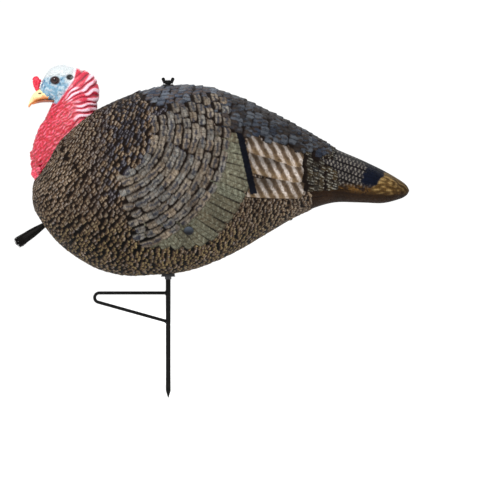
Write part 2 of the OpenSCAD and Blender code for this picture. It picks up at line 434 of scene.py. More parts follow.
WING = np.array([-112.0, 380.0])          # centre of the arcs of wing feathers, in the side view
BREAST, BACK, COVERT, SECOND, PRIMARY, TAIL, TAIL_LONG = range(7)


def polar(x, z):
    dx, dz = x - WING[0], z - WING[1]
    return np.hypot(dx, dz), np.degrees(np.arctan2(dz, dx))


def wing_edge(z):
    """Where the dark bar between the secondaries and the primaries is."""
    return 146 + (364 - z) * 0.232


def tract(x, z):
    """Which kind of feather grows at a place in the side view."""
    r, a = polar(x, z)
    edge = wing_edge(z)
    kind = np.full(np.shape(x), BREAST)
    back = (z > np.interp(x, [-60, 20, 90, 150, 215, 275, 330], [462, 425, 398, 372, 352, 338, 325])) & (x > -60)
    kind[back] = BACK
    kind[(r > 96) & (r < 233) & (a > -72) & (a < 14) & ~back] = COVERT
    kind[(r >= 233) & (a > -70) & (x < edge) & (x > -20) & ~back & (r < 300)] = SECOND
    kind[(x >= edge) & (x < 268) & ~back & (z > 246 - (x - 170) * 0.1)] = PRIMARY
    kind[((x >= 268) & ~back) | (x >= 330)] = TAIL
    return kind


TAIL_START, SMALL_STOP = 282, 332         # how far along the body small feathers grow, on the tail and elsewhere


class Feathers:
    """Overlapping feathers laid on the skin: keeps, at each point, the one on top."""

    def __init__(self, pts, nrm):
        self.pts, self.nrm = pts, nrm
        n = len(pts)
        self.height = np.zeros(n)
        self.level = np.zeros(n, int)
        self.who = np.full(n, -1)
        self.s, self.c = np.zeros(n), np.zeros(n)
        self.cell = 16.0
        key = np.floor(pts / self.cell).astype(int)
        self.cells = {}
        order = np.lexsort(key.T)
        key = key[order]
        cuts = np.flatnonzero(np.any(np.diff(key, axis=0), axis=1)) + 1
        for idx in np.split(order, cuts):
            self.cells[tuple(np.floor(pts[idx[0]] / self.cell).astype(int))] = idx
        self.count = 0
        self.kinds = []

    def near(self, p, reach):
        """The points in the cells round a place."""
        lo = np.floor((p - reach) / self.cell).astype(int)
        hi = np.floor((p + reach) / self.cell).astype(int)
        found = [self.cells[k] for i in range(lo[0], hi[0] + 1) for j in range(lo[1], hi[1] + 1)
                 for m in range(lo[2], hi[2] + 1) if (k := (i, j, m)) in self.cells]
        return np.concatenate(found) if found else np.empty(0, int)

    def lay(self, tip, flow, n, length, half, thick, kind, square=2.0, lift=0.0, level=0):
        """One feather: it hides those of a lower level, and lower parts of its own level."""
        side = np.cross(n, flow)
        mid = tip - flow * length / 2
        idx = self.near(mid, max(length / 2, half) + 2)
        if not len(idx):
            return
        idx = idx[self.nrm[idx] @ n > 0.25]
        q = self.pts[idx] - tip
        s = 1 + q @ flow / length
        c = q @ side / half
        end = np.clip((s - 0.55) / 0.45, 0, 2)
        edge = (np.abs(c) ** square + end ** square) ** (1 / square)
        ok = (s > 0) & (edge < 1)
        idx, s, c, edge = idx[ok], s[ok], c[ok], edge[ok]
        h = lift + thick * (0.12 + 0.88 * s) * (1 - 0.22 * c * c) * np.clip((1 - edge) / 0.14, 0, 1) ** 0.5
        win = (level > self.level[idx]) | ((level == self.level[idx]) & (h > self.height[idx]))
        idx = idx[win]
        self.level[idx] = level
        self.height[idx], self.who[idx], self.s[idx], self.c[idx] = h[win], self.count, s[win], c[win]
        self.kinds.append(kind)
        self.count += 1


P = skin.reshape(-1, 3)
feathers = Feathers(P, skin_n.reshape(-1, 3))
ROW_GAP = us[1] - us[0]


def ring_places(u, step, phase):
    """Places round one row, step millimetres apart."""
    i = int(round((u - us[0]) / ROW_GAP))
    i = min(max(i, 0), RINGS - 1)
    row = skin[i]
    seg = np.linalg.norm(np.roll(row, -1, 0) - row, axis=1)
    cum = np.r_[0, np.cumsum(seg)]
    n = max(5, int(round(cum[-1] / step)))
    at = (np.arange(n) + phase) / n * cum[-1]
    j = np.searchsorted(cum, at, side="right") - 1
    return i, np.mod(j, SIDES)


def lay_rows(kinds, sizes, start, jitter, square=2.0, level=0, reach=1e9):
    """Rows of feathers round the body, where the skin grows one of these kinds."""
    spacing, across, length, half, thick = sizes
    u, k = start, 0
    while u < U_END - 4:
        i, js = ring_places(u, across, 0.5 * (k % 2) + rng.uniform(-0.12, 0.12))
        for j in js:
            ii = int(np.clip(i + rng.uniform(-jitter, jitter) * spacing / ROW_GAP, 1, RINGS - 2))
            p = skin[ii, j]
            place = int(tract(p[0:1], p[2:3])[0])
            stop = TAIL_START if place == TAIL else SMALL_STOP
            if place not in kinds or p[0] > stop or polar(p[0], p[2])[0] > reach:
                continue
            g = rng.uniform(0.85, 1.15)
            feathers.lay(p, skin_flow[ii, j], skin_n[ii, j], length * g, half * rng.uniform(0.85, 1.12),
                         thick * rng.uniform(0.8, 1.2), kinds[0], square, level=level)
        u += spacing
        k += 1


def on_arc(radius, a):
    """A place in the side view, by its distance and angle from the wing's centre."""
    return WING[0] + radius * math.cos(math.radians(a)), WING[1] + radius * math.sin(math.radians(a))


def lay_wing(radius, a, length, half, thick, kind, square, lift, level, turn=0.0):
    """A feather on each flank that points away from the wing's centre, its tip on an arc round it."""
    x, z = on_arc(radius, a)
    if np.interp(x, form_x, form_belly) + 6 < z < np.interp(x, form_x, form_back) - 6:
        lay_side(x, z, a + turn, length, half, thick, kind, square, lift, level)


def lay_side(x, z, angle, length, half, thick, kind, square, lift, level):
    """One feather on each flank, its tip at a place in the side view and pointing at an angle."""
    y = float(half_width(np.array([x]), np.array([z]))[0])
    gx = float(half_width(np.array([x + 1.0]), np.array([z]))[0]) - y
    gz = float(half_width(np.array([x]), np.array([z + 1.0]))[0]) - y
    for side in (-1, 1):
        n = unit(np.array([-gx, side * 1.0, -gz]))
        d = np.array([math.cos(math.radians(angle)), 0, math.sin(math.radians(angle))])
        d = unit(d - (d @ n) * n)
        feathers.lay(np.array([x, side * y, z]), d, n, length, half, thick, kind, square, lift, level)


# Row spacing, spacing across, length, half width and thickness
SMALL, BACK_SIZE = (6.2, 11.4, 18.0, 7.4, 2.6), (17.5, 22.0, 26.0, 13.6, 4.8)
lay_rows((BREAST, BACK, COVERT, SECOND, PRIMARY, TAIL), SMALL, 26, 0.55)
lay_rows((BACK,), BACK_SIZE, 100, 0.3, square=2.5, level=1)
for k, r in enumerate(np.arange(98, 236, 15.2)):
    step = math.degrees(22.0 / r)
    for a in np.arange(-74 + (k % 2) * step / 2, 20, step):
        at, turn = a + rng.uniform(-0.16, 0.16) * step, rng.uniform(-6, 6)
        lay_wing(r + rng.uniform(-1.6, 1.6), at, 22 * rng.uniform(0.92, 1.1), 13.0 * rng.uniform(0.8, 1.12),
                 4.2 * rng.uniform(0.8, 1.15), COVERT, rng.uniform(2.4, 3.6), 0.5, 3, turn)
lay_rows((BREAST, COVERT), SMALL, 26, 0.55, level=4, reach=91)
for a in np.arange(-68, 0, 4.6):
    stop = 236 + 56 * smooth(np.array(a), -74, -44)
    for r in np.arange(240, 306, 1.0):
        x, z = on_arc(r, a)
        if x > wing_edge(z):
            stop = min(stop, r)
            break
    lay_wing(min(stop, 292), a, 78, 12.6, 3.0, SECOND, 5.0, 0.3, 2)
for z0, z1 in ((336, 322), (310, 292), (283, 262)):
    lay_side(264, (z0 + z1) / 2 - 8, -13, 118, 20.0, 2.4, PRIMARY, 6.0, 0.5, 1)
for k in range(9):
    z = 336 - 9.6 * k
    lay_side(453 - 1.8 * abs(k - 4), 262 + (z - 296) * 0.22, -21 + k * 3.0, 196, 8.4, 2.2, TAIL_LONG, 6.0, 0.1, 0)
for x0 in (332, 319, 306, 293, 282):
    for z0 in np.arange(268, 332, 9.0):
        if z0 < 334 - 0.5 * (x0 - 268):
            lay_side(x0 + rng.uniform(-3, 3), z0 + rng.uniform(-2, 2), -22, 30, 7.2, 2.6, TAIL, 2.4, 0.8, 1)

relief = feathers.height.reshape(RINGS, SIDES)
before, after = np.vstack([relief[:1], relief[:-1]]), np.vstack([relief[1:], relief[-1:]])
relief = 0.5 * relief + 0.125 * (np.roll(relief, 1, 1) + np.roll(relief, -1, 1) + before + after)
# The skin starts a little inside the CAD's form, more so under the wing nut, and outside it on the tail
nut_dip = smooth(skin[..., 2], 425, 455) * smooth(np.abs(skin[..., 0] - 8), 72, 38)
sink = 1.8 - 4.6 * smooth(skin[..., 0], 320, 385) + 2.0 * nut_dip
body_pts = skin + skin_n * (relief * 0.9 - sink)[..., None]

# Colours, by kind of feather. s runs from a feather's root, 0, to its tip, 1, and c across it, from -1 to 1.
who = feathers.who
lone = np.maximum(who, 0)
kinds = np.array(feathers.kinds + [0])[lone]
kinds[who < 0] = tract(P[:, 0], P[:, 2])[who < 0]
tone = rng.uniform(0, 1, feathers.count + 1)[lone]
tone2 = rng.uniform(0, 1, feathers.count + 1)[lone]
s, c = feathers.s, feathers.c
x, z = P[:, 0], P[:, 2]
n1, n2, n3 = noise_a(P, 60.0), noise_b(P, 14.0), noise_c(P, 6.5)
low_breast = smooth(250 - z, 0, 90)
# dark is painted shade: the gaps between feathers and under their tips, deeper low on the breast
dark = blend(rgb(26, 19, 15), rgb(8, 6, 5), low_breast)
light = blend(rgb(140, 124, 104), rgb(122, 114, 108), tone)
slate_zone = smooth(x, -175, -90) * smooth(z, 190, 260) * smooth(110 - x, 0, 60) * (tone2 > 0.45)
light = blend(light, rgb(84, 86, 96), 0.8 * slate_zone)
light = blend(light, rgb(124, 108, 66), 0.75 * low_breast * (tone2 > 0.3))
middle = blend(rgb(84, 68, 54), rgb(44, 42, 48), slate_zone)
brown = blend(middle, light, smooth(s + 0.05 * n3, 0.80, 0.92))
slate = blend(rgb(58, 65, 79), rgb(98, 103, 110), tone)
slate = blend(slate, rgb(36, 38, 48), 0.7 * smooth(np.sin(c * 7.0 + 9 * tone2) + 0.5 * n3, 0.3, 1.0))
slate = blend(slate, rgb(74, 58, 44), 0.6 * smooth(n2 + 1.4 * tone2, 0.9, 1.6))
slate = blend(slate, rgb(50, 42, 36), 0.75 * smooth(x, 20, 160) * smooth(tone2 + 0.25 * n2, 0.35, 0.65))
slate *= 1 - 0.46 * smooth(x, 50, 190)[:, None]
covert = 0.93 * blend(rgb(118, 106, 92), rgb(102, 102, 100), tone)
grain = np.sin(s * 15.0 + 7 * tone2 + 0.9 * n2 + 1.2 * c)
covert = blend(covert, rgb(70, 56, 44), 0.6 * smooth(grain, 0.2, 0.9))
covert = blend(covert, rgb(140, 130, 116), 0.5 * smooth(-grain + 0.3 * n3, 0.6, 1.2))
streak = smooth(np.abs(s + 0.05 * n2 - 0.68), 0.15, 0.05) * smooth(np.sin(c * 2.0 + 6 * tone2) + 0.5, 0, 0.6)
covert = blend(covert, rgb(34, 38, 50), 0.8 * streak)
second = blend(rgb(96, 96, 82), rgb(84, 78, 64), tone)
barbs = np.sin(s * 40 + np.abs(c) * 5 + 5 * tone2)
second = blend(second, rgb(136, 138, 122), 0.35 * smooth(barbs + 0.7 * n3, 0.3, 1.6))
second = blend(second, rgb(48, 38, 30), 0.4 * smooth(-barbs + 0.8 * n2, 0.5, 1.6))
colour = np.zeros((len(P), 3))
for kind, col in ((BREAST, brown), (BACK, slate), (COVERT, covert), (SECOND, second)):
    colour[kinds == kind] = col[kinds == kind]
bars = 0.5 + 0.5 * np.sin((x + z * 0.36 + 0.7 * n2) * 2 * math.pi / 18.5 + 1.1 * c)
prim = blend(rgb(94, 78, 62), rgb(176, 166, 158), smooth(bars, 0.40, 0.95))
prim = blend(prim, rgb(60, 48, 38), 0.6 * smooth(bars, 0.30, 0.02))
prim = blend(prim, rgb(84, 72, 62), 0.6 * smooth(n3 + n2, 0.5, 1.6))
prim = blend(prim, rgb(116, 96, 70), 0.4 * smooth(c * np.sign(P[:, 1]), 0.1, 0.8))
# Painted shade along the edges of each primary
prim = blend(prim, rgb(44, 30, 22), smooth(np.abs(c), 0.90, 0.97))
colour[kinds == PRIMARY] = 0.68 * prim[kinds == PRIMARY]
small = blend(rgb(62, 52, 36), rgb(44, 44, 44), tone)
small = blend(small, rgb(138, 136, 126), 0.75 * smooth(np.sin(c * 8 + 6 * tone2) + 0.4 * n3, 0.5, 1.2))
small_here = (kinds == TAIL) | ((kinds == BREAST) & (x > 260) & (z > 292))
colour[small_here] = small[small_here]
vane = z + 0.42 * (x - 335)               # across the tail feathers, each 16 mm wide
tailbar = 0.5 + 0.5 * np.sin((x - 0.3 * z) * 2 * math.pi / 7.6 + math.pi * (np.floor(vane / 8) % 2) + 0.6 * n2)
tail = blend(rgb(40, 38, 40), rgb(122, 116, 108), 0.85 * smooth(tailbar, 0.5, 0.95))
# Painted shade in the gaps between the tail feathers
tail = blend(tail, rgb(16, 14, 15), 0.95 * smooth(np.abs((vane + 8) % 16 - 8), 2.3, 0.9))
tail = blend(tail, rgb(30, 28, 28), 0.6 * smooth(np.abs(vane % 16 - 8), 1.3, 0.3))
low = smooth(np.interp(x, [268, 330, 470], [286, 278, 270]) - z, -4, 6)
tail = blend(tail, blend(rgb(96, 68, 30), rgb(44, 30, 16), smooth(n2 + 0.7 * n3, -0.6, 0.8)), 0.9 * low)
wave = 2.5 * n2
band_end = smooth(410 - x + (z - 284.5) - wave, -3, 3)
blue_band = smooth(x - 0.5 * np.maximum(z - 290, 0) + wave, 372, 380) * band_end * (1 - 0.8 * low)
tail = blend(tail, rgb(14, 19, 32), blue_band)
tip = smooth(x - (z - 284.5) + wave, 407, 413)
streaks = noise_b(P * [0.25, 1, 1], 8.0)
# The gold tip darkens lower down: a painted highlight on its top and painted shade below
gold = blend(rgb(134, 110, 70), rgb(74, 55, 30), smooth(streaks + 0.07 * (288 - z), -1.2, 1.9))
tail = blend(tail, gold, tip)
under = smooth(np.interp(x, [268, 330, 400, 470], [272, 270, 265, 262]) - z, -2, 8)
tail = blend(tail, rgb(34, 22, 13), 0.92 * under)
on_tail = (kinds == TAIL_LONG) | ((kinds == TAIL) & ((x > 335) | (who < 0))) | ((x > 335) & (kinds == BREAST))
# Painted shade in the gap between the body's feathers and the tail
tail = blend(tail, dark, smooth(277 - x, 0, 6))
colour[on_tail] = tail[on_tail]


def each(*by_kind):
    """The value for each point's kind of feather."""
    return np.array(by_kind)[kinds]


# How much of its own colour a point has, the rest being painted shade: none near a feather's hidden root, its sides
# and the painted shadow of its tip
lit = smooth(s, each(0.62, 0.29, 0.32, 0.0, 0.0, 0.50, 0.0), each(0.80, 0.44, 0.50, 0.01, 0.01, 0.7, 0.01))
sides_at = each(0.74, 0.79, 0.86, 0.74, 0.92, 0.66, 0.80)
lit *= 1 - smooth(np.abs(c), sides_at, sides_at + 0.12)
lit *= 1 - each(0.2, 0.75, 0.7, 0.6, 0.0, 0.5, 0.0) * smooth(s, 0.945, 0.99)
# Where no feather lies, the skin shows only the painted shade
lit[who < 0] = 0.0
lit[on_tail & (who < 0)] = 1.0
colour = blend(dark, colour * (1 + 0.12 * n1 + 0.10 * n2 + 0.08 * n3)[:, None].clip(0.4, 1.6), lit)
blue_black = (np.abs(x - wing_edge(z) + 3) < 6.5) & (z > 258) & (z < 376)
blue_black &= np.isin(kinds, (BREAST, SECOND, PRIMARY))
colour[blue_black] = rgb(13, 15, 23)

body = outward(new_mesh("feathered_body", *loft(body_pts)))
set_colour(body, "paint", colour)
# The primaries keep nearly one value, so that the material draws no barbs on them
set_colour(body, "feather", np.column_stack([np.where(kinds == PRIMARY, 0.5036 + 0.012 * s, s),
                                             np.where(kinds == PRIMARY, 0.75 + 0.012 * c, 0.5 + 0.5 * c), tone]))


def plumage():
    """Painted feathers with fine barbs that slant from the shaft."""
    n = Nodes("plumage")
    paint, local = n.attribute("paint"), n.attribute("feather")
    split = n.add("ShaderNodeSeparateColor")
    n.link(local, split.inputs["Color"])
    off_shaft = n.math("ABSOLUTE", n.math("SUBTRACT", split.outputs[1], 0.5))
    spread = n.math("ADD", n.math("MULTIPLY", split.outputs[0], 26.0), n.math("MULTIPLY", off_shaft, -44.0))
    barbs = n.math("SINE", n.math("MULTIPLY", spread, 3.0))
    rough_noise = n.noise(260.0, 5.0, 0.62)
    fine = n.math("MULTIPLY", n.remap(barbs, -1.0, 1.0), rough_noise)
    shaft = n.remap(off_shaft, 0.02, 0.05, 0.55, 1.0)
    shade = n.math("MULTIPLY", n.remap(fine, 0.1, 0.55, 0.5, 1.3), shaft)
    tinted = n.mix(1.0, paint, n.remap(n.noise(420.0, 3.0), 0.3, 0.7, 0.7, 1.25), "MULTIPLY")
    colour = n.mix(1.0, tinted, shade, "MULTIPLY")
    n.bump(n.math("ADD", fine, n.math("MULTIPLY", n.noise(700.0, 3.0), 0.6)), 0.0008, 0.7)
    return n.finish(colour, n.remap(rough_noise, 0.3, 0.7, 0.6, 0.85), 0.0, 0.06)


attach(body, "shell")
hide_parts("body_shell")

# ---------------- pockets in the body

NECK_SEAT, TILT = np.array([-193.0, 0.0, 350.0]), math.radians(36.87)
NECK_UP = np.array([-math.sin(TILT), 0.0, math.cos(TILT)])
NECK_REAR = np.array([math.cos(TILT), 0.0, math.sin(TILT)])
BEARD_AT, BEARD_WAY = np.array([-238.0, 0.0, 199.5]), np.array([-0.829038, 0.0, -0.559193])
BACK_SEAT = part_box("back_bush")[1][2] * 1000 - 1.6
BELLY_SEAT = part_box("belly_bush")[0][2] * 1000 + 4.4
WALL, BUSH_R, SEAT_R, BEARD_R, PEG_R = 3.4, 8.0, 15.0, 7.6, 9.05
PLUG_R, PLUG_OFF = 30.0, 26.0             # the plug's round ends, and how far each is from its middle
PLUG_PLAY = 3.0                           # the gap round the plug in its pocket


def form_rings(grow, first, last, rings, sides):
    """The plain form of the body, grown or shrunk, as rings of points."""
    th = turns(sides)
    out = []
    for v in np.linspace(first, last, rings):
        r = form[int(round(v * PER_ROW))]
        back, belly = BELLY + r[1] * HEIGHT + grow, BELLY + r[2] * HEIGHT - grow
        mid = belly + WIDEST * (back - belly)
        cs = np.cos(th)
        zz = mid + np.where(cs > 0, back - mid, mid - belly) * cs
        xx = BREAST_X + LENGTH * (0.5 + (r[0] - 0.5) * (1 + 2 * grow / LENGTH))
        half = max(r[3], 0.02) * WIDTH / 2 + grow + wing_rise(xx, zz)
        out.append(np.column_stack([np.full(sides, xx), half * np.sin(th), zz]))
    return out


def prism(name, extra, low, high):
    """The rounded bar that the neck's plug and its pocket are made from."""
    th = np.linspace(-math.pi / 2, math.pi / 2, 16)
    r = PLUG_R + extra
    right = np.column_stack([PLUG_OFF + r * np.cos(th), r * np.sin(th)])
    outline = np.vstack([right, -right])
    ring = NECK_SEAT + outline[:, :1] * NECK_REAR + outline[:, 1:] * np.array([0.0, 1.0, 0.0])
    return outward(new_mesh(name, *loft([ring + NECK_UP * low, ring + NECK_UP * high])))


cut(body, outward(new_mesh("hollow", *loft(form_rings(-WALL, 1.4, 16, 40, 40)))))
cut(body, prism("pocket", PLUG_PLAY, -74, 110))
cut(body, outward(cylinder("bush_hole", (0, 0, BELLY_SEAT - 45), (0, 0, BACK_SEAT + 45), BUSH_R)))
cut(body, outward(cylinder("back_seat", (0, 0, BACK_SEAT), (0, 0, BACK_SEAT + 40), SEAT_R)))
cut(body, outward(cylinder("belly_seat", (0, 0, BELLY_SEAT - 40), (0, 0, BELLY_SEAT), SEAT_R)))
cut(body, outward(cylinder("beard_hole", BEARD_AT - BEARD_WAY * 40, BEARD_AT + BEARD_WAY * 20, BEARD_R)))
paint = np.empty(4 * len(body.data.vertices), np.float32)
body.data.color_attributes["paint"].data.foreach_get("color", paint)
paint = paint.reshape(-1, 4)
bare = paint[:, :3].min(axis=1) > 0.6          # the walls of the cuts come out unpainted
paint[bare, :3] = rgb(30, 23, 18)
body.data.color_attributes["paint"].data.foreach_set("color", paint.ravel())
dress(body, plumage())
body.data.set_sharp_from_angle(angle=math.radians(62))

# ---------------- head

# Each row is an oval: x and z of its two ends, and its half width
NECK = [[-226, 262, -128, 392, 34], [-249, 277, -132, 408, 39], [-262, 296, -137, 419, 41], [-266, 339, -139, 430, 39],
        [-254, 382, -136, 442, 34], [-239, 406, -134.5, 456, 30], [-227, 432, -137, 470, 27],
        [-216, 452, -144, 486, 24], [-203, 470, -163, 499, 18]]
SKULL = [[-158, 458, -150, 486, 10], [-176, 440, -172, 501, 20], [-200, 436, -200, 510.5, 24.5],
         [-220, 438, -227, 504, 23.5], [-232, 441, -241, 486, 17.5], [-240, 443, -249, 466, 11],
         [-246, 446, -252, 458, 7]]


def ovals(rows):
    """Oval rings through a table's rows."""
    th = turns(40)
    cc = (1 - np.cos(th)) / 2
    return [np.column_stack([r[0] + (r[2] - r[0]) * cc, r[4] * np.sin(th), r[1] + (r[3] - r[1]) * cc])
            for r in catmull(rows, 5)]


def ball(place, radii, turn=0.0):
    """Points and faces of an oval lump."""
    b = bmesh.new()
    bmesh.ops.create_icosphere(b, subdivisions=3, radius=1.0)
    v = np.array([q.co[:] for q in b.verts]) * radii
    f = [tuple(q.index for q in g.verts) for g in b.faces]
    b.free()
    ct, st = math.cos(turn), math.sin(turn)
    v = np.column_stack([v[:, 0] * ct + v[:, 2] * st, v[:, 1], -v[:, 0] * st + v[:, 2] * ct])
    return v + np.array(place, float), f


def ring_lump(centre, radius, tube):
    """A soft ring round an eye."""
    ph = turns(10)
    rings = []
    for t in turns(28):
        mid = np.array([math.cos(t) * radius, 0, math.sin(t) * radius * 0.85])
        out = np.column_stack([np.cos(ph) * math.cos(t), np.sin(ph), np.cos(ph) * math.sin(t)]) * tube
        rings.append(centre + mid + out)
    return hoop(rings)


def joined(name, parts):
    """One mesh of several sets of points and faces."""
    verts, faces, at = [], [], 0
    for v, f in parts:
        verts.append(v)
        faces += [tuple(i + at for i in g) for g in f]
        at += len(v)
    return new_mesh(name, np.vstack(verts), faces)


def remeshed(ob, size, smooth_steps, factor=0.5):
    """The object as one closed skin, with its joins smoothed."""
    m = ob.modifiers.new("remesh", "REMESH")
    m.mode, m.voxel_size, m.use_smooth_shade = "VOXEL", size * 0.001, True
    k = ob.modifiers.new("smooth", "SMOOTH")
    k.factor, k.iterations = factor, smooth_steps
    return applied(ob)


EYE = np.array([-219.0, 18.5, 478.5])
EYE_R = 8.7
EAR = np.array([-190.5, 23.0, 484.7])
parts = [loft(ovals(NECK)), loft(ovals(SKULL))]
for side in (-1, 1):
    parts.append(ring_lump(np.array([EYE[0], side * 22.6, EYE[2]]), 8.6, 2.3))
    parts.append(ball((EYE[0] - 2, side * 19.5, EYE[2] + 11.5), (11, 4.5, 3.6), -0.15))
    parts.append(ball((-205, side * 20.5, 462), (14, 5, 9), 0.3))
lumps = np.random.default_rng(5)          # the fleshy lumps low on the front of the neck
for _ in range(26):
    lumps.uniform(0, 1)                   # not used, but it keeps the draws after it as they are
    side = lumps.choice([-1, 1])
    zz = lumps.uniform(284, 340)
    across = lumps.uniform(0, 27)
    size = lumps.uniform(4.5, 8.0)
    front = np.interp(zz, [262, 277, 296, 339], [-226, -249, -262, -266])
    parts.append(ball((front + 2 + across * across * 0.018, side * across, zz), (size, size * 0.95, size * 1.15)))
for side in (-1, 1):
    parts.append(ball((-250, side * 9.5, 294), (12.5, 10.5, 15.5), 0.1))
head = remeshed(joined("head_skin", parts), 1.5, 6, 0.55)


def neck_zones(co):
    """At points of the head: its ridges, how much of the ridged back it is, and the neck's wrinkles."""
    hx, _, hz = co.T
    rear = np.interp(hz, [392, 408, 419, 430, 442, 456, 470, 486, 499, 511],
                     [-128, -132, -137, -139, -136, -134.5, -137, -144, -163, -200])
    front = np.interp(hz, [262, 277, 296, 339, 382, 406, 432, 452], [-226, -249, -262, -266, -254, -239, -227, -216])
    back_part = (hx - front) / np.maximum(rear - front, 1)
    slope = np.interp(hz, [380, 420, 450, 500], [0.42, 0.02, 0.16, 0.62])
    ridge_at = hz - slope * (hx + 150) + 0.004 * (hx + 150) ** 2
    fan = 428 + 62 * np.arctan2(np.maximum(hz - 428, 0), np.maximum(hx + 218, 4))
    ridge_at = ridge_at + (fan - ridge_at) * smooth(hz, 422, 444) + 1.6 * noise_a(co, 44.0)
    ridge = np.abs(np.sin(ridge_at * math.pi / 10.4 + 0.4 * noise_b(co, 30.0)))
    behind = smooth(back_part, 0.42, 0.66)
    seam_x = np.interp(hz, [440, 462, 480, 505], [-203, -193, -185, -180])
    behind = behind + (smooth(hx - seam_x, -1, 9) - behind) * smooth(hz, 434, 444)
    behind *= smooth(hz - (hx + 200) * 0.9, 318, 352)
    wrinkle = np.sin((hz - 0.75 * (hx + 200)) * 2 * math.pi / 7.5 + 1.6 * noise_c(co, 22.0))
    return ridge, behind, wrinkle


co, no = points(head), normals(head)
hx, hy, hz = co.T
ridge, behind, wrinkle = neck_zones(co)
ridge = 1 - (1 - ridge) ** 1.4
face = smooth(hz + np.maximum(0, hx + 222) * -1.25, 424, 436) * (1 - behind)
neck_part = (1 - face) * (1 - behind)
warts = np.abs(noise_a(co, 13.0) * 0.55 + noise_b(co, 7.0) * 0.3)
push = behind * (ridge - 0.55) * 2.6 + neck_part * (warts * 0.7 + 0.55 * wrinkle - 0.2) + face * 0.4 * noise_b(co, 6.5)
ear = ((hx - EAR[0]) / 7.4) ** 2 + ((hz - EAR[2]) / 5.9) ** 2
eye_d = np.hypot(hx - EYE[0], (hz - EYE[2]) / 0.9)
push = push * smooth(eye_d, 9, 13) * (1 - 0.6 * smooth(hz, 494, 506) * smooth(-hx, 166, 178))
push = push - 4.0 * np.exp(-ear * 1.6) * (np.abs(hy) > 10)
set_points(head, co + no * push[:, None])
for side in (-1, 1):
    eye_hole = ball((EYE[0], side * EYE[1], EYE[2]), (EYE_R, EYE_R, EYE_R))
    cut(head, outward(new_mesh("eye_hole", *eye_hole)))
cut(head, outward(new_mesh("under", *loft(form_rings(-0.5, 0, 19, 60, 48)))))
plug = prism("plug", 0.0, -34, 20)
m = head.modifiers.new("join", "BOOLEAN")
m.operation, m.solver, m.object = "UNION", "MANIFOLD", plug
applied(head)
bpy.data.objects.remove(plug)
cut(head, outward(cylinder("peg_hole", NECK_SEAT - NECK_UP * 36, NECK_SEAT + NECK_UP * 11, PEG_R)))
head.data.set_sharp_from_angle(angle=math.radians(50))

# The paint of the head
co = points(head)
hx, hy, hz = co.T
ridge, behind, wrinkle = neck_zones(co)
skin_red = blend(rgb(154, 5, 32), rgb(176, 34, 64), smooth(noise_b(co, 9.0), 0.2, 1.2))
# The wrinkles get painted shade in their grooves and a painted highlight on their crests
skin_red = blend(skin_red, rgb(104, 2, 16), 0.85 * smooth(-wrinkle + 0.5 * noise_a(co, 9.0), 0.4, 1.2))
skin_red = blend(skin_red, rgb(206, 96, 120), 0.6 * smooth(wrinkle + 0.6 * noise_b(co, 12.0), 0.7, 1.4))
# A painted highlight, pinker, low on the front of the neck where the lumps are
skin_red = blend(skin_red, rgb(214, 62, 88), 0.5 * smooth(315 - hz, 0, 22) * (np.abs(hy) < 26))
# Painted shade, maroon, in the grooves between the ridges
stripes = blend(rgb(112, 8, 34), rgb(170, 26, 54), smooth(ridge, 0.20, 0.46))
pale = smooth(ridge, 0.58, 0.86) * smooth(noise_c(co, 34.0) + 0.8 - 1.3 * smooth(hz, 462, 492), 0, 0.9)
stripes = blend(stripes, rgb(202, 172, 184), pale)
paint = blend(skin_red, stripes, behind)
face_line = hz - np.maximum(0, hx + 216) * 1.35 - np.maximum(0, -216 - hx) * 0.2
face = smooth(face_line, 430, 437) * (1 - smooth(behind, 0.1, 0.5))
blue = blend(rgb(98, 138, 160), rgb(152, 170, 180), smooth(noise_b(co, 10.0) + 0.4 * noise_a(co, 20.0), -0.4, 1.2))
blue = blend(blue, rgb(48, 92, 124), 0.9 * smooth(noise_a(co, 11.0) + 0.8 * smooth(-hx, 224, 240), 0.8, 1.6))
crown = smooth(hz - (hx + 215) * 0.1, 481, 490)
crown = np.maximum(crown, smooth(hx, -204, -192) * smooth(hz, 466, 478))
face_paint = blend(0.88 * blue, rgb(165, 171, 173), crown)
# A painted shade line in the crease above the eye
crease = np.abs(hz - (487.5 + 2.2 * np.sin((hx + 228) * 0.13)))
crease_here = smooth(hx, -232, -226) * smooth(-hx, 196, 202)
face_paint = blend(face_paint, rgb(128, 134, 136), 0.7 * smooth(crease, 1.6, 0.4) * crease_here)
fold = np.abs(hx - np.interp(hz, [442, 460, 480, 497], [-205, -194, -182, -178]))
face_paint = blend(face_paint, rgb(192, 184, 194), 0.85 * smooth(fold, 7.0, 2.0) * (hz > 438))
paint = blend(paint, face_paint, face)
ear = ((hx - EAR[0]) / 7.3) ** 2 + ((hz - EAR[2]) / 5.8) ** 2
paint = blend(paint, rgb(3, 3, 4), (1 - smooth(ear, 0.75, 1.1)) * (np.abs(hy) > 12))
eye_d = np.hypot(hx - EYE[0], (hz - EYE[2]) / 0.88)
paint = blend(paint, rgb(30, 18, 20), (1 - smooth(eye_d, 8.8, 10.4)) * (np.abs(hy) > 12))
depth = (co - NECK_SEAT) @ NECK_UP
across = (co - NECK_SEAT) @ NECK_REAR
in_plug = (depth < 14) & (np.abs(hy) < 30.6) & (np.abs(across) < 56.6) & (depth < -0.5)
paint[in_plug] = rgb(60, 10, 16)
set_colour(head, "paint", paint)


def painted_skin():
    """Satin paint over pebbled skin."""
    n = Nodes("head_skin")
    paint = n.attribute("paint")
    fine = n.noise(380.0, 5.0, 0.6)
    blot = n.noise(140.0, 3.0)
    colour = n.mix(1.0, paint, n.remap(fine, 0.3, 0.7, 0.78, 1.18), "MULTIPLY")
    colour = n.mix(n.remap(blot, 0.55, 0.75, 0.0, 0.25), colour, (0.9, 0.45, 0.5), "SOFT_LIGHT")
    n.bump(n.math("ADD", fine, n.math("MULTIPLY", blot, 1.4)), 0.0009, 0.55)
    return n.finish(colour, n.remap(fine, 0.3, 0.7, 0.34, 0.55), 0.0, 0.5)


SKIN = painted_skin()
dress(head, SKIN)
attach(head, "head")
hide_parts("head_neck")

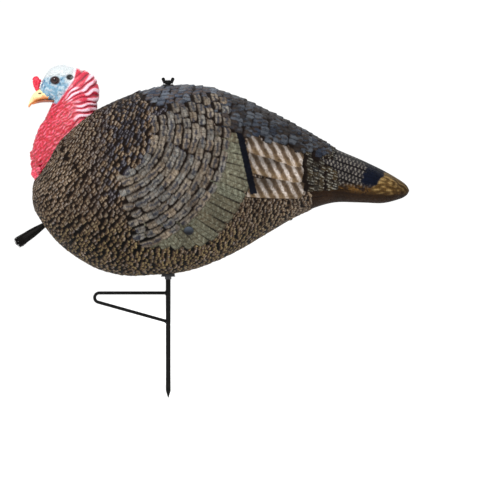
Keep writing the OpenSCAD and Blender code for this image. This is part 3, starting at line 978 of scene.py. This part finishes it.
# beak: two halves that meet along a line from the corner of the mouth
UPPER = [[-223, 441.5, -231, 462, 15.0], [-238, 441.5, -246, 464, 12.5], [-248, 441, -256, 459, 9.6],
         [-257, 438.5, -264, 452, 7.0], [-264, 434, -269, 443, 5.0], [-269, 428.5, -272, 434, 3.2],
         [-272, 425.5, -273.5, 428.5, 1.4]]
LOWER = [[-222, 436, -222, 441.5, 12.5], [-238, 436, -238, 441.4, 10.5], [-250, 435.2, -250, 440.8, 7.4],
         [-260, 433, -260, 437.4, 4.2], [-265, 431.2, -265, 433.8, 2.0]]
for name, rows in (("beak", UPPER), ("lower_beak", LOWER)):
    ob = remeshed(new_mesh(name, *loft(ovals(rows))), 0.9, 4)
    q = points(ob)
    line = np.interp(-q[:, 0], [223, 248, 257, 264, 269, 273], [441.5, 441, 438.5, 434, 428.5, 425.5])
    up = q[:, 2] - line
    tint = blend(rgb(190, 118, 66), rgb(216, 190, 138), smooth(up + 1.6 * noise_b(q, 12.0), 2.5, 9.5))
    tint = blend(tint, rgb(188, 184, 128), 0.6 * smooth(up, 8, 16) * smooth(q[:, 0], -262, -246))
    # Painted shade along the mouth line, where the two halves meet
    tint = blend(tint, rgb(112, 52, 34), 0.9 * smooth(1.2 - up, 0, 2.0) * smooth(q[:, 0], -268, -250))
    # Painted shade in the nostril, which is also pressed in a little
    nostril = ((q[:, 0] + 250) / 4.0) ** 2 + ((q[:, 2] - 453.5) / 1.7) ** 2
    tint = blend(tint, rgb(56, 40, 30), 1 - smooth(nostril, 0.6, 1.2))
    set_points(ob, q - normals(ob) * (0.9 * np.exp(-nostril))[:, None])
    set_colour(ob, "paint", tint)
    horn = Nodes("horn")
    g = horn.noise(260.0, 4.0, stretch=(0.3, 1.0, 1.0))
    horn.bump(g, 0.0004, 0.4)
    colour = horn.mix(1.0, horn.attribute("paint"), horn.remap(g, 0.3, 0.7, 0.85, 1.1), "MULTIPLY")
    dress(ob, horn.finish(colour, horn.remap(g, 0.3, 0.7, 0.3, 0.42)))
    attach(ob, "head")

# snood: a soft wrinkled finger that stands at the root of the beak
SNOOD = [[455, -251, 4.2], [460, -254.5, 4.6], [466, -256.5, 5.6], [472, -256.6, 7.0], [478, -255.6, 8.4],
         [483, -257.4, 6.6], [487, -258.6, 2.8]]                                # z, x and radius
th = turns(24)
rings = [np.column_stack([x + r * np.cos(th), 0.66 * r * np.sin(th), np.full(24, z)]) for z, x, r in catmull(SNOOD, 6)]
snood = remeshed(new_mesh("snood_skin", *loft(rings)), 0.9, 4)
q = points(snood)
fold = np.sin(q[:, 2] * 2 * math.pi / 3.4 + 0.9 * noise_b(q, 9.0))
set_points(snood, q + normals(snood) * (0.35 * fold + 0.5 * noise_a(q, 6.0))[:, None])
# Painted shade in the grooves of the snood's folds
set_colour(snood, "paint", blend(rgb(206, 24, 58), rgb(150, 8, 30), smooth(-fold, 0.1, 0.9)))
dress(snood, SKIN)
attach(snood, "head")
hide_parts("snood")


def glass_eye(side):
    """A dark glossy eye, with its pupil, iris and rim drawn by the distance from the eye's axis."""
    n = Nodes("eye_gloss")
    from_centre = n.vector("SUBTRACT", n.coords(), tuple(EYE * (0.001, side * 0.001, 0.001)))["Vector"]
    off_axis = n.vector("LENGTH", n.vector("MULTIPLY", from_centre, (1.0, 0.0, 1.0))["Vector"])["Value"]
    iris = n.remap(off_axis, 0.0030, 0.0036)
    rim = n.remap(off_axis, 0.0050, 0.0058)
    fibres = n.noise(900.0, 3.0)
    brown = n.mix(fibres, (0.014, 0.003, 0.004), (0.036, 0.009, 0.009))
    colour = n.mix(rim, n.mix(iris, (0.002, 0.001, 0.001), brown), (0.002, 0.001, 0.002))
    return n.finish(colour, 0.06, 0.0, 0.3)


# ---------------- beard

u_side = np.array([0.0, 1.0, 0.0])
v_side = np.cross(BEARD_WAY, u_side)
hairs, hair_rng = [], np.random.default_rng(21)
for _ in range(430):
    rr, aa = math.sqrt(hair_rng.uniform(0, 1)), hair_rng.uniform(0, 2 * math.pi)
    root = (u_side * math.cos(aa) + v_side * math.sin(aa)) * rr * 4.9
    end = (u_side * math.cos(aa) * 8.6 + v_side * math.sin(aa) * 10.4) * rr + hair_rng.normal(size=3) * 0.8
    long = hair_rng.uniform(61, 69) - 4 * rr
    thick = hair_rng.uniform(0.42, 0.62)
    sway = hair_rng.normal(size=3) * 0.8
    rings = []
    for t in np.linspace(0, 1, 7):
        mid = BEARD_AT + BEARD_WAY * (4.2 + long * t) + root * (1 - t) + end * t + sway * math.sin(t * math.pi)
        w = thick * (1 - 0.55 * t)
        rings.append(mid + circle(turns(5), u_side, v_side) * w)
    hairs.append(loft(rings))
# A dark core, so that no gap shows between the hairs
hairs.append(loft([BEARD_AT + BEARD_WAY * d + circle(th, u_side, v_side) * r
                   for d, r in ((3.6, 4.6), (8, 5.4), (30, 6.9), (52, 8.0), (60, 5.6))]))
beard = joined("beard_hair", hairs)
hair = Nodes("beard_hair")
g = hair.noise(300.0, 3.0, stretch=(0.4, 1.0, 1.0))
colour = hair.mix(g, (0.002, 0.002, 0.002), (0.008, 0.007, 0.006))
dress(beard, hair.finish(colour, hair.remap(g, 0.3, 0.7, 0.5, 0.7), 0.0, 0.06))
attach(beard, "beard")
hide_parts("beard_bristles")

# ---------------- wing nut, weld beads

nut_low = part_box("wing_nut")[0][2] * 1000
nut_parts = [loft([np.column_stack([r * np.cos(th), r * np.sin(th), np.full(24, nut_low + hgt)])
                   for hgt, r in ((0, 5.4), (0.5, 5.7), (4, 5.5), (6.8, 5.1), (7.4, 4.8))])]
for side in (-1, 1):
    d = unit(np.array([side * 0.36, 0, 0.933]))
    across_dir = np.array([d[2], 0, -d[0]])
    rings = []
    for t in np.linspace(0, 1, 13):
        mid = np.array([side * 6.0, 0, nut_low + 1.4]) + d * 12.2 * t
        wide = 3.6 + 0.6 * t / 0.8 if t < 0.8 else 4.2 * math.sqrt(max(1 - ((t - 0.8) / 0.21) ** 2, 0.03))
        rings.append(mid + (np.cos(th)[:, None] * across_dir * wide * 0.82
                            + np.sin(th)[:, None] * u_side * (2.3 - 0.6 * t)))
    nut_parts.append(loft(rings))
nut = remeshed(joined("wing_nut_cast", nut_parts), 0.45, 5)
cut(nut, outward(cylinder("nut_bore", (0, 0, nut_low - 2), (0, 0, nut_low + 14), 3.25, sides=64)))
nut.data.set_sharp_from_angle(angle=math.radians(45))
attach(nut, "nut")
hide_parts("wing_nut")


def bead(centre, way, radius, seed):
    """A lumpy ring of weld where a bar meets the stake."""
    r = np.random.default_rng(seed)
    w = unit(np.array(way, float))
    u = unit(np.cross(w, [0, 1, 0]))
    v = np.cross(w, u)
    rings = []
    for k in range(40):
        t = 2 * math.pi * k / 40
        out = u * math.cos(t) + v * math.sin(t)
        fat = 1.5 + 0.35 * math.sin(t * 9 + seed) + r.uniform(-0.1, 0.1)
        pull = abs(v @ u_side) * 2.3 * math.sin(t) ** 2
        mid = np.asarray(centre) + w * pull + out * radius
        rings.append(mid + circle(turns(10), out, w) * fat)
    return hoop(rings)


low_way = unit(np.array([-134.6, 0, 37.6]))
welds = joined("weld_beads", [bead((-4.4, 0, 64), (1, 0, 0), 3.1, 3), bead((-4.4, 0, 9.3), -low_way, 3.1, 4)])
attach(welds, "stake")

# ---------------- carried-over pieces

COAT = steel_coat()
FINISHES = (
    (COAT, "ground_stake", "step_loop", "top_washer"),
    (zinc(), "spindle_rod", "jam_nut", "belly_washer"),
    (plastic("black_plastic", (0.008, 0.008, 0.009), (0.016, 0.016, 0.018), (0.5, 0.68), specular=0.2),
     "belly_bush", "back_bush", "neck_cup", "beard_socket", "neck_peg", "beard_ferrule"),
    (plastic("natural_plastic", (0.55, 0.54, 0.48), (0.66, 0.65, 0.60)), "stake_tube"),
    (knob(), "side_plug"), (glass_eye(-1), "eye_left"), (glass_eye(1), "eye_right"),
)
for finish, *nodes in FINISHES:
    for node in nodes:
        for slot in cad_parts[node].material_slots:
            slot.material = finish
dress(nut, COAT)
dress(welds, COAT)

# ---------------- camera, floor and light

FLOOR, FLOOR_HALF = -142.5, 9000
DISTANCE, RAISED = 6.0, math.radians(1.5)
scene = bpy.context.scene
scene.view_settings.view_transform = "Standard"
cam_data = bpy.data.cameras.new("camera")
cam_data.lens = 221.0
cam_data.clip_end = 30.0
cam = bpy.data.objects.new("camera", cam_data)
scene.collection.objects.link(cam)
target = Vector((0.160, 0.0, 0.148))
cam.location = target + Vector((0.0, -DISTANCE * math.cos(RAISED), DISTANCE * math.sin(RAISED)))
cam.rotation_euler = (target - cam.location).to_track_quat("-Z", "Y").to_euler()
scene.camera = cam

corners = [(x * FLOOR_HALF, y * FLOOR_HALF, FLOOR) for x, y in ((-1, -1), (1, -1), (1, 1), (-1, 1))]
floor = new_mesh("floor", corners, [(0, 1, 2, 3)])
fn = Nodes("floor")
floor.data.materials.append(fn.finish((0.98, 0.98, 0.98), 0.9))

world = bpy.data.worlds.new("world")
scene.world = world
world.use_nodes = True
sky = world.node_tree.nodes["Background"].inputs
sky["Color"].default_value = (1.0, 1.0, 1.0, 1.0)
sky["Strength"].default_value = 1.06


def area(name, place, aim, size, power):
    """A soft square light."""
    d = bpy.data.lights.new(name, "AREA")
    d.shape, d.size, d.energy = "SQUARE", size, power
    o = bpy.data.objects.new(name, d)
    o.location = place
    o.rotation_euler = (Vector(aim) - Vector(place)).to_track_quat("-Z", "Y").to_euler()
    scene.collection.objects.link(o)


area("key", (-1.2, -2.2, 2.8), (0.0, 0.0, 0.25), 1.2, 125)
area("fill", (2.4, -2.2, 1.2), (0.1, 0.0, 0.25), 2.0, 15)
area("back", (0.6, 2.6, 2.4), (0.1, 0.0, 0.3), 1.6, 45)
